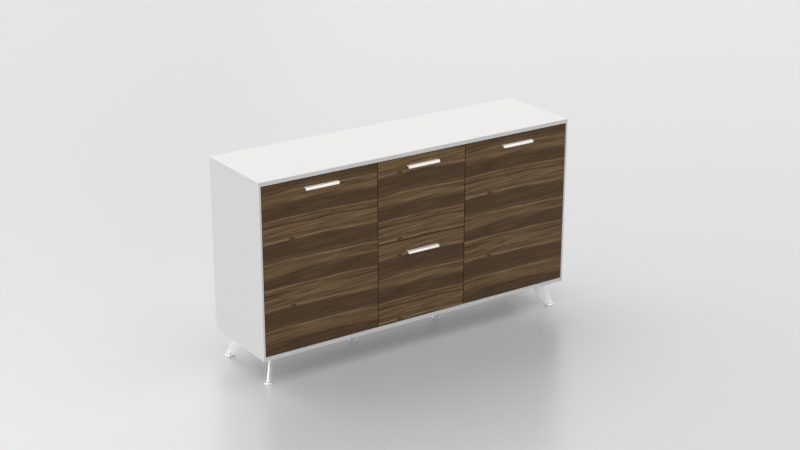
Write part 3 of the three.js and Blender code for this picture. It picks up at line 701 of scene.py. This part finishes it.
def connector_cap(sizes):
    """Round cap that covers a board connector."""
    return plate(circle(sizes.cap_diameter), CAP_THICKNESS, CAP_ROUNDING)


class CREDENZA_OT_carcass(bpy.types.Operator):
    """Finishes the white boards and adds connector caps and closing bumpers"""

    bl_idname = "credenza.carcass"
    bl_label = "Carcass"

    def execute(self, context):
        sizes, colours = chosen(context)
        dress(white_melamine(colours), *WHITE_BOARDS)
        dress(lacquered_hardboard(colours), "back_panel")
        self.add_caps(sizes, colours)
        self.add_bumpers(sizes, colours)
        return {"FINISHED"}

    def add_caps(self, sizes, colours):
        """Caps over the connectors, near the ends of every upright board's cupboard face."""
        cap = connector_cap(sizes)
        floor_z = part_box("bottom_panel")[1].z + CAP_INSET
        ceiling_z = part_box("top_panel")[0].z - CAP_INSET
        for name, side in SIDES:
            caps = []
            for board, way in (("side_panel", -side), ("partition", side)):
                x = face_x(f"{name}_{board}", way)
                for y in CAP_ROWS:
                    for z in (floor_z, ceiling_z):
                        caps.append(placed(cap, (x, y, z), (0, way, 0), (0, 0, 1)))
            make_piece(f"{name}_connector_caps", caps, white_nylon(colours), "carcass")

    def add_bumpers(self, sizes, colours):
        """Soft dots on the partitions' front edges, behind the doors and the drawer fronts."""
        dot = plate(circle(sizes.bumper_diameter, 24), BUMPER_THICKNESS, BUMPER_ROUNDING)
        for name, side in SIDES:
            low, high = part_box(f"{name}_partition")
            centre = (low.x + high.x) / 2
            door_low, door_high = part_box(f"{name}_door_panel")
            heights = [(side, door_low.z + BUMPER_INSET), (side, door_high.z - BUMPER_INSET)]
            for drawer in DRAWERS:
                front_low, front_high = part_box(f"{drawer}_front")
                heights.append((-side, front_low.z + BUMPER_INSET))
                heights.append((-side, front_high.z - BUMPER_INSET))
            dots = []
            for way, height in heights:
                spot = (centre + way * BUMPER_SHIFT, low.y, height)
                dots.append(placed(dot, spot, *FACING_FRONT))
            make_piece(f"{name}_bumpers", dots, soft_silicone(colours), "carcass")


class CREDENZA_OT_doors(bpy.types.Operator):
    """Finishes the doors and their pivots and adds the catches' strike plates"""

    bl_idname = "credenza.doors"
    bl_label = "Doors"

    def execute(self, context):
        sizes, colours = chosen(context)
        zinc = zinc_plate(colours)
        for name, _ in SIDES:
            door = f"{name}_door"
            dress_front(door, "panel", colours, sizes, sizes.door_knot, sizes.door_line)
            for level in ("lower", "upper"):
                dress(zinc, f"{door}_{level}_pivot", f"{name}_{level}_pivot_socket")
            self.add_strike(door, zinc)
        return {"FINISHED"}

    def add_strike(self, door, zinc):
        """Thin plate on the door's back, facing the catch, with two flush screws."""
        centre = middle(f"{door}_catch")
        origin = np.array([centre.x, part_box(f"{door}_panel")[1].y, centre.z])
        strike = plate(oblong(*STRIKE_OUTLINE), STRIKE_THICKNESS, STRIKE_ROUNDING)
        surfaces = [placed(strike, origin, *FACING_REAR)]
        head = screw(SMALL_SCREW) * (1.0, 1.0, FLUSH)
        for shift in (-STRIKE_SCREW_SHIFT, STRIKE_SCREW_SHIFT):
            surfaces.append(placed(head, origin + (shift, STRIKE_THICKNESS, 0), *FACING_REAR))
        make_piece(f"{door}_strike", surfaces, zinc, door)


class CREDENZA_OT_drawers(bpy.types.Operator):
    """Finishes the drawer fronts, boxes and runners and adds the fronts' fixings"""

    bl_idname = "credenza.drawers"
    bl_label = "Drawers"

    def execute(self, context):
        sizes, colours = chosen(context)
        zinc = zinc_plate(colours)
        foil = drawer_foil(colours)
        for name in DRAWERS:
            dress_front(name, "front", colours, sizes, sizes.drawer_knot, sizes.drawer_line)
            for part in ("left_side", "right_side", "back", "bottom"):
                dress(foil, f"{name}_{part}")
            for side, _ in SIDES:
                for part in ("cabinet", "middle", "drawer"):
                    dress(zinc, f"{name}_{side}_{part}_member")
            self.add_fixings(name, sizes, colours)
        return {"FINISHED"}

    def add_fixings(self, name, sizes, colours):
        """Caps over the connectors that hold the sides to the front and to the back."""
        cap = connector_cap(sizes)
        caps = []
        for side, way in SIDES:
            board = f"{name}_{side}_side"
            low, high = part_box(board)
            x = face_x(board, -way)
            for y in (low.y + CAP_INSET, high.y - BACK_CAP_INSET):
                for z in (low.z + LOW_CAP_RISE, high.z - HIGH_CAP_DROP):
                    caps.append(placed(cap, (x, y, z), (0, -way, 0), (0, 0, 1)))
        make_piece(f"{name}_connector_caps", caps, drawer_foil(colours), name)


class CREDENZA_OT_pulls(bpy.types.Operator):
    """Replaces the finger pulls with smooth ones"""

    bl_idname = "credenza.pulls"
    bl_label = "Finger pulls"

    def execute(self, context):
        sizes, colours = chosen(context)
        aluminium = anodised_aluminium(colours)
        for body in ("left_door", "right_door", *DRAWERS):
            node = f"{body}_handle"
            low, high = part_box(node)
            surfaces = [self.hook(low, high, sizes), self.flange(low, high, sizes)]
            pull = make_piece(f"{body}_pull", surfaces, aluminium, body, [node], 30)
            edge = pull.modifiers.new("Edge", "BEVEL")
            edge.width = PULL_BEVEL
            edge.segments = 2
            edge.limit_method = "ANGLE"
            edge.angle_limit = math.radians(PULL_BEVEL_ANGLE)
        return {"FINISHED"}

    def flange(self, low, high, sizes):
        """Flat strip behind the pull, screwed to the front from inside, shorter than the hook."""
        wide = high.x - low.x - 2 * sizes.pull_inset
        top = high.z - sizes.pull_wall / 2
        outline = oblong(wide, top - low.z, PULL_FLANGE_CORNER)
        strip = plate(outline, sizes.pull_wall, PULL_FLANGE_ROUNDING)
        centre = ((low.x + high.x) / 2, high.y, (top + low.z) / 2)
        return placed(strip, centre, *FACING_FRONT)

    def hook(self, low, high, sizes):
        """Hooked section carried along X, drawn back at both ends by the plan's corner radius.

        At an angle from 0 to a quarter turn, the station lies one minus its cosine of the radius in
        from the end, and the section falls short of its full reach by one minus its sine of the radius.
        """
        reach = high.y - low.y
        wall = sizes.pull_wall
        lip = sizes.pull_lip
        section = [
            (0, 0),
            (0, -wall),
            (reach - wall, -wall),
            (reach - wall, -lip),
            (reach, -lip),
            (reach, 0),
        ]
        back = [PULL_BACK_EASE, PULL_BACK_EASE]
        front = [PULL_LIP_EASE, PULL_LIP_EASE, sizes.pull_nose]
        section = eased(section, [*back, PULL_HOLLOW, *front], 7)
        corner = sizes.pull_corner
        angle = np.linspace(0, np.pi / 2, 13)
        near = low.x + corner * (1 - np.cos(angle))
        far = high.x - corner * (1 - np.cos(angle[::-1]))
        stations = np.concatenate([near, far])
        short = corner * (1 - np.sin(np.concatenate([angle, angle[::-1]])))
        share = (reach - short - wall) / (reach - wall)
        out = section[None, :, 0]
        drawn = np.where(out > wall, wall + (out - wall) * share[:, None], out)
        rows = np.empty((len(stations), len(section), 3))
        rows[..., 0] = stations[:, None]
        rows[..., 1] = high.y - drawn
        rows[..., 2] = high.z + section[None, :, 1]
        return rows


# Feet and catches

FOOT_GAP = 0.3 * MM  # between a glide and the blade above it
PLATE_CORNER = 8 * MM  # radius of a leg plate's corners
PLATE_ROUNDING = 1.2 * MM
PLATE_SCREW_INSET = 10 * MM  # a leg's screws from the plate's edges
BLADE_ROOT = 1 * MM  # how far a blade runs on into its plate
BLADE_CONTROL = (-16 * MM, 27 * MM)  # curve's control point: from the inner top, above the foot
BLADE_FLARE = 5 * MM  # how much a blade thickens on each side at its plate
FLARE_START = 0.88  # share of the blade's height at which it starts to thicken
FLARE_POWER = 2.2
BLADE_NOSE = 2.4 * MM  # length of the rounding at a blade's edges
NOSE_POWER = 0.75  # below 1, so that the rounding is fuller than an ellipse
POST_SCREW_CIRCLE = 24 * MM  # radius on which a post's screws lie
GLIDE_RIM = 2 * MM
STEM_SINK = 0.2 * MM  # how deep a stem stands in its foot
THREAD_PITCH = 1.5 * MM
THREAD_DEPTH = 0.7 * MM
CASE_SLOPE = 6 * MM  # size of the bevel under a catch's rear end
CASE_RADII = (1.2 * MM, 2 * MM, 2 * MM, 0.8 * MM, 0.6 * MM)  # of its section, from the lower front
CASE_ROUNDING = 0.8 * MM  # of its ends
POLE_OUTLINE = (24 * MM, 1.8 * MM, 0.6 * MM)  # length, height and radius of the corners
POLE_THICKNESS = 1 * MM
POLE_ROUNDING = 0.02 * MM
POLE_SHIFT = 2.6 * MM  # a catch's middle to each pole strip
POLE_SINK = 0.97 * MM  # how deep a pole strip lies in the face
CATCH_SCREW_SHIFT = 17 * MM  # a catch's middle to each screw
CATCH_SCREW_DEPTH = 10 * MM  # a catch's front face to its screws


class CREDENZA_OT_feet(bpy.types.Operator):
    """Replaces the legs, centre posts and glides with smooth castings and turnings"""

    bl_idname = "credenza.feet"
    bl_label = "Feet"

    def execute(self, context):
        sizes, colours = chosen(context)
        centre = middle("bottom_panel")
        for name in CORNERS:
            spot = middle(f"{name}_glide")
            ways = np.sign([centre.x - spot.x, centre.y - spot.y, 0.0])
            inward = ways / math.sqrt(2)
            self.add_leg(name, spot, inward, sizes, colours)
            self.add_glide(f"{name}_glide", spot, sizes, colours)
        for name, _ in SIDES:
            spot = middle(f"{name}_centre_glide")
            self.add_post(f"{name}_centre_post", spot, sizes, colours)
            self.add_glide(f"{name}_centre_glide", spot, sizes, colours)
        return {"FINISHED"}

    def add_leg(self, name, spot, inward, sizes, colours):
        """One casting: blade, boss and screw plate, with four screws in the plate."""
        low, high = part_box(f"{name}_leg")
        aside = np.cross((0, 0, 1), inward)
        axes = ((spot.x, spot.y, 0), inward, aside)
        underside = high.z - sizes.plate_thickness
        plate_x = -sizes.blade_foot / 2 + sizes.blade_lean + sizes.blade_top / 2
        outline = oblong(sizes.plate_length, sizes.plate_width, PLATE_CORNER, 9) + (plate_x, 0)
        rim = plate(outline, sizes.plate_thickness, PLATE_ROUNDING) + (0, 0, underside)
        surfaces = [self.blade(sizes, underside), self.boss(low.z), rim]
        leg = [placed(points, *axes) for points in surfaces]
        casting = polished_casting(colours)
        make_piece(f"{name}_blade", leg, casting, "carcass", [f"{name}_leg"])
        head = screw(sizes.screw_head)
        heads = []
        for end in (-1, 1):
            for edge in (-1, 1):
                x = plate_x + end * (sizes.plate_length / 2 - PLATE_SCREW_INSET)
                y = edge * (sizes.plate_width / 2 - PLATE_SCREW_INSET)
                hung = placed(head, (x, y, underside), *FACING_DOWN)
                heads.append(placed(hung, *axes))
        make_piece(f"{name}_leg_screws", heads, zinc_plate(colours), "carcass")

    def blade(self, sizes, underside):
        """Slim sections swept from the foot to the plate between a straight and a curved edge.

        The outer edge is a straight line, and the inner one a quadratic curve with one control point.
        Each section spans the two with rounded ends, and thickens into the plate near the top.
        """
        foot_z = sizes.glide_height + FOOT_GAP
        top_z = underside + BLADE_ROOT
        s = np.linspace(0, 1, 41)[:, None]
        outer_foot = np.array([-sizes.blade_foot / 2, foot_z])
        outer_top = outer_foot + (sizes.blade_lean, top_z - foot_z)
        inner_foot = outer_foot + (sizes.blade_foot, 0)
        inner_top = outer_top + (sizes.blade_top, 0)
        control = np.array([inner_top[0], foot_z]) + BLADE_CONTROL
        outer = outer_foot + (outer_top - outer_foot) * s
        inner = (1 - s) ** 2 * inner_foot + 2 * s * (1 - s) * control + s**2 * inner_top
        flare = np.clip((s[:, 0] - FLARE_START) / (1 - FLARE_START), 0, 1) ** FLARE_POWER
        half = sizes.blade_thickness / 2 + BLADE_FLARE * flare
        span = inner - outer
        wide = np.linalg.norm(span, axis=1)
        heading = span / wide[:, None]
        turn = np.linspace(-np.pi / 2, np.pi / 2, 11)
        tip = BLADE_NOSE * np.abs(np.cos(turn)) ** NOSE_POWER
        side = np.sign(np.sin(turn)) * np.abs(np.sin(turn)) ** NOSE_POWER
        ahead = wide[:, None] / 2 - BLADE_NOSE + tip
        offset = np.concatenate([ahead, -ahead[:, ::-1]], axis=1)
        lateral = half[:, None] * np.concatenate([side, side[::-1]])
        centre = (inner + outer) / 2
        rows = np.empty((*offset.shape, 3))
        rows[..., 0] = centre[:, :1] + heading[:, :1] * offset
        rows[..., 1] = lateral
        rows[..., 2] = centre[:, 1:] + heading[:, 1:] * offset
        return rows

    def boss(self, seat):
        """Turned boss at the blade's foot that the glide's stem screws into."""
        # Radius and height in millimetres: an eased foot, then a slim taper into the blade.
        profile = [
            (5.8, 0),
            (6.6, 0.3),
            (7, 1.1),
            (7, 9),
            (6.8, 11),
            (6.1, 14),
            (5, 17.5),
            (3.6, 21),
            (1.6, 23.4),
        ]
        return turned(np.array(profile) * MM + (0, seat))

    def add_post(self, name, spot, sizes, colours):
        """Turned post with a flange, and three screws in the flange."""
        low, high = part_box(name)
        radius = sizes.post_diameter / 2
        flange = (high.x - low.x) / 2
        underside = high.z - sizes.plate_thickness
        # An eased foot, the straight post, a hollow under the flange and the flange's eased rim.
        profile = [
            (radius - 1.2 * MM, low.z),
            (radius - 0.4 * MM, low.z + 0.3 * MM),
            (radius, low.z + 1.2 * MM),
            (radius, underside - 5 * MM),
            (radius + 0.4 * MM, underside - 2.6 * MM),
            (radius + 1.6 * MM, underside - 0.8 * MM),
            (radius + 4 * MM, underside),
            (flange - 1 * MM, underside),
            (flange, underside + 1 * MM),
            (flange, high.z - 0.6 * MM),
            (flange - 0.6 * MM, high.z),
        ]
        body = turned(profile, 64) + (spot.x, spot.y, 0)
        make_piece(f"{name}_turning", [body], polished_casting(colours), "carcass", [name])
        head = screw(sizes.screw_head)
        angle = np.radians([90, 210, 330])
        ring = np.column_stack([np.cos(angle), np.sin(angle), np.zeros(3)]) * POST_SCREW_CIRCLE
        heads = [placed(head, p + (spot.x, spot.y, underside), *FACING_DOWN) for p in ring]
        make_piece(f"{name}_screws", heads, zinc_plate(colours), "carcass")

    def add_glide(self, name, spot, sizes, colours):
        """Dished foot and its stem.

        The stem's radius falls by a triangle wave of its height over the thread's pitch less its
        turn, so that the ridges climb as a screw.
        """
        low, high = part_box(name)
        outer = (high.x - low.x) / 2
        dish = sizes.glide_height - GLIDE_RIM
        angle = np.linspace(0, np.pi, 13)
        arc = np.column_stack([np.cos(angle), np.sin(angle)])
        round_rim = arc * GLIDE_RIM + (outer - GLIDE_RIM, dish)
        # An eased underside, the round rim and the dish inside it.
        foot = turned(
            [
                (outer - 2.6 * MM, 0.0),
                (outer - 1.0 * MM, 0.2 * MM),
                (outer - 0.2 * MM, 1.0 * MM),
                (outer, 2.0 * MM),
                *round_rim,
                (sizes.stem_diameter / 2, dish),
            ],
            72,
        )
        heights = np.linspace(dish - STEM_SINK, high.z, 80)[:, None]
        angle = np.linspace(0, 2 * np.pi, 24, endpoint=False)[None, :]
        phase = np.mod(heights / THREAD_PITCH - angle / (2 * np.pi), 1)
        radius = sizes.stem_diameter / 2 - THREAD_DEPTH * np.abs(2 * phase - 1)
        levels = np.broadcast_to(heights, radius.shape)
        stem = np.stack([radius * np.cos(angle), radius * np.sin(angle), levels], axis=2)
        place = (spot.x, spot.y, 0)
        make_piece(f"{name}_foot", [foot + place], bright_plate(colours), name, [name])
        make_piece(f"{name}_stem", [stem + place], zinc_plate(colours), name, [name], 60)


class CREDENZA_OT_catches(bpy.types.Operator):
    """Replaces the magnetic catches with moulded cases, steel poles and screws"""

    bl_idname = "credenza.catches"
    bl_label = "Door catches"

    def execute(self, context):
        colours = context.scene.credenza_colours
        for name, _ in SIDES:
            node = f"{name}_door_catch"
            low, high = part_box(node)
            self.add_case(node, low, high, colours)
            self.add_metal(name, low, high, colours)
        return {"FINISHED"}

    def add_case(self, node, low, high, colours):
        """Wedge-backed section carried along X, drawn in a little at both ends."""
        deep = high.y - low.y
        tall = high.z - low.z
        corners = [(0, 0), (deep - CASE_SLOPE, 0), (deep, CASE_SLOPE), (deep, tall), (0, tall)]
        case = plate(eased(corners, CASE_RADII), high.x - low.x, CASE_ROUNDING)
        case = placed(case, (low.x, low.y, low.z), (0, 1, 0), (0, 0, 1))
        make_piece(f"{node}_case", [case], white_nylon(colours), "carcass", [node])

    def add_metal(self, name, low, high, colours):
        """Two pole strips in the face that meets the door, and a screw near each end below."""
        x = (low.x + high.x) / 2
        z = (low.z + high.z) / 2
        strip = plate(oblong(*POLE_OUTLINE), POLE_THICKNESS, POLE_ROUNDING)
        parts = []
        for rise in (-POLE_SHIFT, POLE_SHIFT):
            parts.append(placed(strip, (x, low.y + POLE_SINK, z + rise), *FACING_FRONT))
        head = screw(SMALL_SCREW)
        for shift in (-CATCH_SCREW_SHIFT, CATCH_SCREW_SHIFT):
            spot = (x + shift, low.y + CATCH_SCREW_DEPTH, low.z)
            parts.append(placed(head, spot, *FACING_DOWN))
        make_piece(f"{name}_door_catch_metal", parts, zinc_plate(colours), "carcass")


# Studio

# Each lamp's name, its turn from the front, height and spread in degrees, and its strength.
LAMPS = (
    ("Left light", 270, 40, 100, 1.60),
    ("Rear light", 180, 52, 60, 1.20),
    ("High front light", 45, 65, 50, 0.85),
    ("Low front light", 20, 25, 40, 0.15),
    ("Low rear light", 135, 15, 30, 0.043),
)
SURROUNDINGS = 0.05  # strength at which the surroundings light the scene
BACKDROP = 0.98  # strength at which they are seen
FLOOR_REACH = 40.0
CAMERA_SPOT = (-3.84352, -5.70894, 3.06218)
CAMERA_DIP = 20.3551  # degrees below level
CAMERA_TURN = -34.0862  # degrees from straight at the front
SENSOR_WIDTH = 36.0  # millimetres


class CREDENZA_OT_stage(bpy.types.Operator):
    """Sets the pale floor, the plain surroundings, the soft lamps and the camera"""

    bl_idname = "credenza.stage"
    bl_label = "Studio"

    def execute(self, context):
        scene = context.scene
        scene.view_settings.view_transform = "Standard"
        self.add_floor(scene)
        self.add_surroundings(scene)
        for lamp in LAMPS:
            self.add_lamp(scene, *lamp)
        self.add_camera(scene)
        return {"FINISHED"}

    def add_floor(self, scene):
        """Pale floor with a dull polish, in which the fronts mirror softly."""
        far = FLOOR_REACH
        mesh = bpy.data.meshes.new("Floor")
        mesh.from_pydata(
            [(-far, -far, 0), (far, -far, 0), (far, far, 0), (-far, far, 0)], [], [(0, 1, 2, 3)]
        )
        finish = bpy.data.materials.new("Pale floor")
        finish.use_nodes = True
        tree = finish.node_tree
        colour = rgba(scene.credenza_colours.floor)
        add_node(
            tree, tree.nodes["Principled BSDF"],
            {"Base Color": colour, "Roughness": 0.28, "IOR": 1.85},
        )
        mesh.materials.append(finish)
        floor = bpy.data.objects.new("Floor", mesh)
        scene.collection.objects.link(floor)

    def add_surroundings(self, scene):
        """Even light from all round, which the camera and bright metal see as a pale backdrop."""
        world = bpy.data.worlds.new("Studio")
        world.use_nodes = True
        tree = world.node_tree
        path = add_node(tree, "ShaderNodeLightPath")
        seen = path.outputs["Is Camera Ray"]
        for ray in ("Is Glossy Ray", "Is Transmission Ray"):
            seen = maths(tree, "MAXIMUM", seen, path.outputs[ray])
        level = ranged(tree, seen, (0.0, 1.0), (SURROUNDINGS, BACKDROP))
        white = rgba((1.0, 1.0, 1.0))
        add_node(tree, tree.nodes["Background"], {"Color": white, "Strength": level})
        scene.world = world

    def add_lamp(self, scene, name, turn, height, spread, strength):
        """Far soft lamp, turned about Z from the front and raised from the floor, in degrees."""
        lamp = bpy.data.lights.new(name, "SUN")
        lamp.angle = math.radians(spread)
        lamp.energy = strength
        holder = bpy.data.objects.new(name, lamp)
        holder.rotation_euler = (math.radians(90 - height), 0.0, math.radians(turn))
        scene.collection.objects.link(holder)

    def add_camera(self, scene):
        """Camera above the front's left end, looking down along the front."""
        lens = bpy.data.cameras.new("Camera")
        lens.sensor_width = SENSOR_WIDTH
        lens.lens = scene.credenza_sizes.camera_lens
        camera = bpy.data.objects.new("Camera", lens)
        camera.location = CAMERA_SPOT
        camera.rotation_euler = (math.radians(90 - CAMERA_DIP), 0.0, math.radians(CAMERA_TURN))
        scene.collection.objects.link(camera)
        scene.camera = camera


class CREDENZA_PT_panel(bpy.types.Panel):
    """Lists the steps that dress the credenza"""

    bl_idname = "CREDENZA_PT_panel"
    bl_label = "Office credenza"
    bl_space_type = "VIEW_3D"
    bl_region_type = "UI"
    bl_category = "Credenza"

    def draw(self, context):
        for step in OPERATORS:
            self.layout.operator(step.bl_idname)
        for group in chosen(context):
            for name in group.bl_rna.properties.keys():
                if name not in ("rna_type", "name"):
                    self.layout.prop(group, name)


OPERATORS = (
    CREDENZA_OT_carcass,
    CREDENZA_OT_doors,
    CREDENZA_OT_drawers,
    CREDENZA_OT_pulls,
    CREDENZA_OT_feet,
    CREDENZA_OT_catches,
    CREDENZA_OT_stage,
)
CLASSES = (CredenzaSizes, CredenzaColours, *OPERATORS, CREDENZA_PT_panel)


def register():
    """Adds the classes and hangs the sizes and colours on the scene."""
    for kind in CLASSES:
        bpy.utils.register_class(kind)
    bpy.types.Scene.credenza_sizes = bpy.props.PointerProperty(type=CredenzaSizes)
    bpy.types.Scene.credenza_colours = bpy.props.PointerProperty(type=CredenzaColours)


def unregister():
    """Takes the sizes and colours off the scene and removes the classes."""
    del bpy.types.Scene.credenza_colours
    del bpy.types.Scene.credenza_sizes
    for kind in reversed(CLASSES):
        bpy.utils.unregister_class(kind)


def main():
    """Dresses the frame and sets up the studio."""
    register()
    bpy.ops.credenza.carcass()
    bpy.ops.credenza.doors()
    bpy.ops.credenza.drawers()
    bpy.ops.credenza.pulls()
    bpy.ops.credenza.feet()
    bpy.ops.credenza.catches()
    bpy.ops.credenza.stage()


if __name__ == "__main__":
    main()
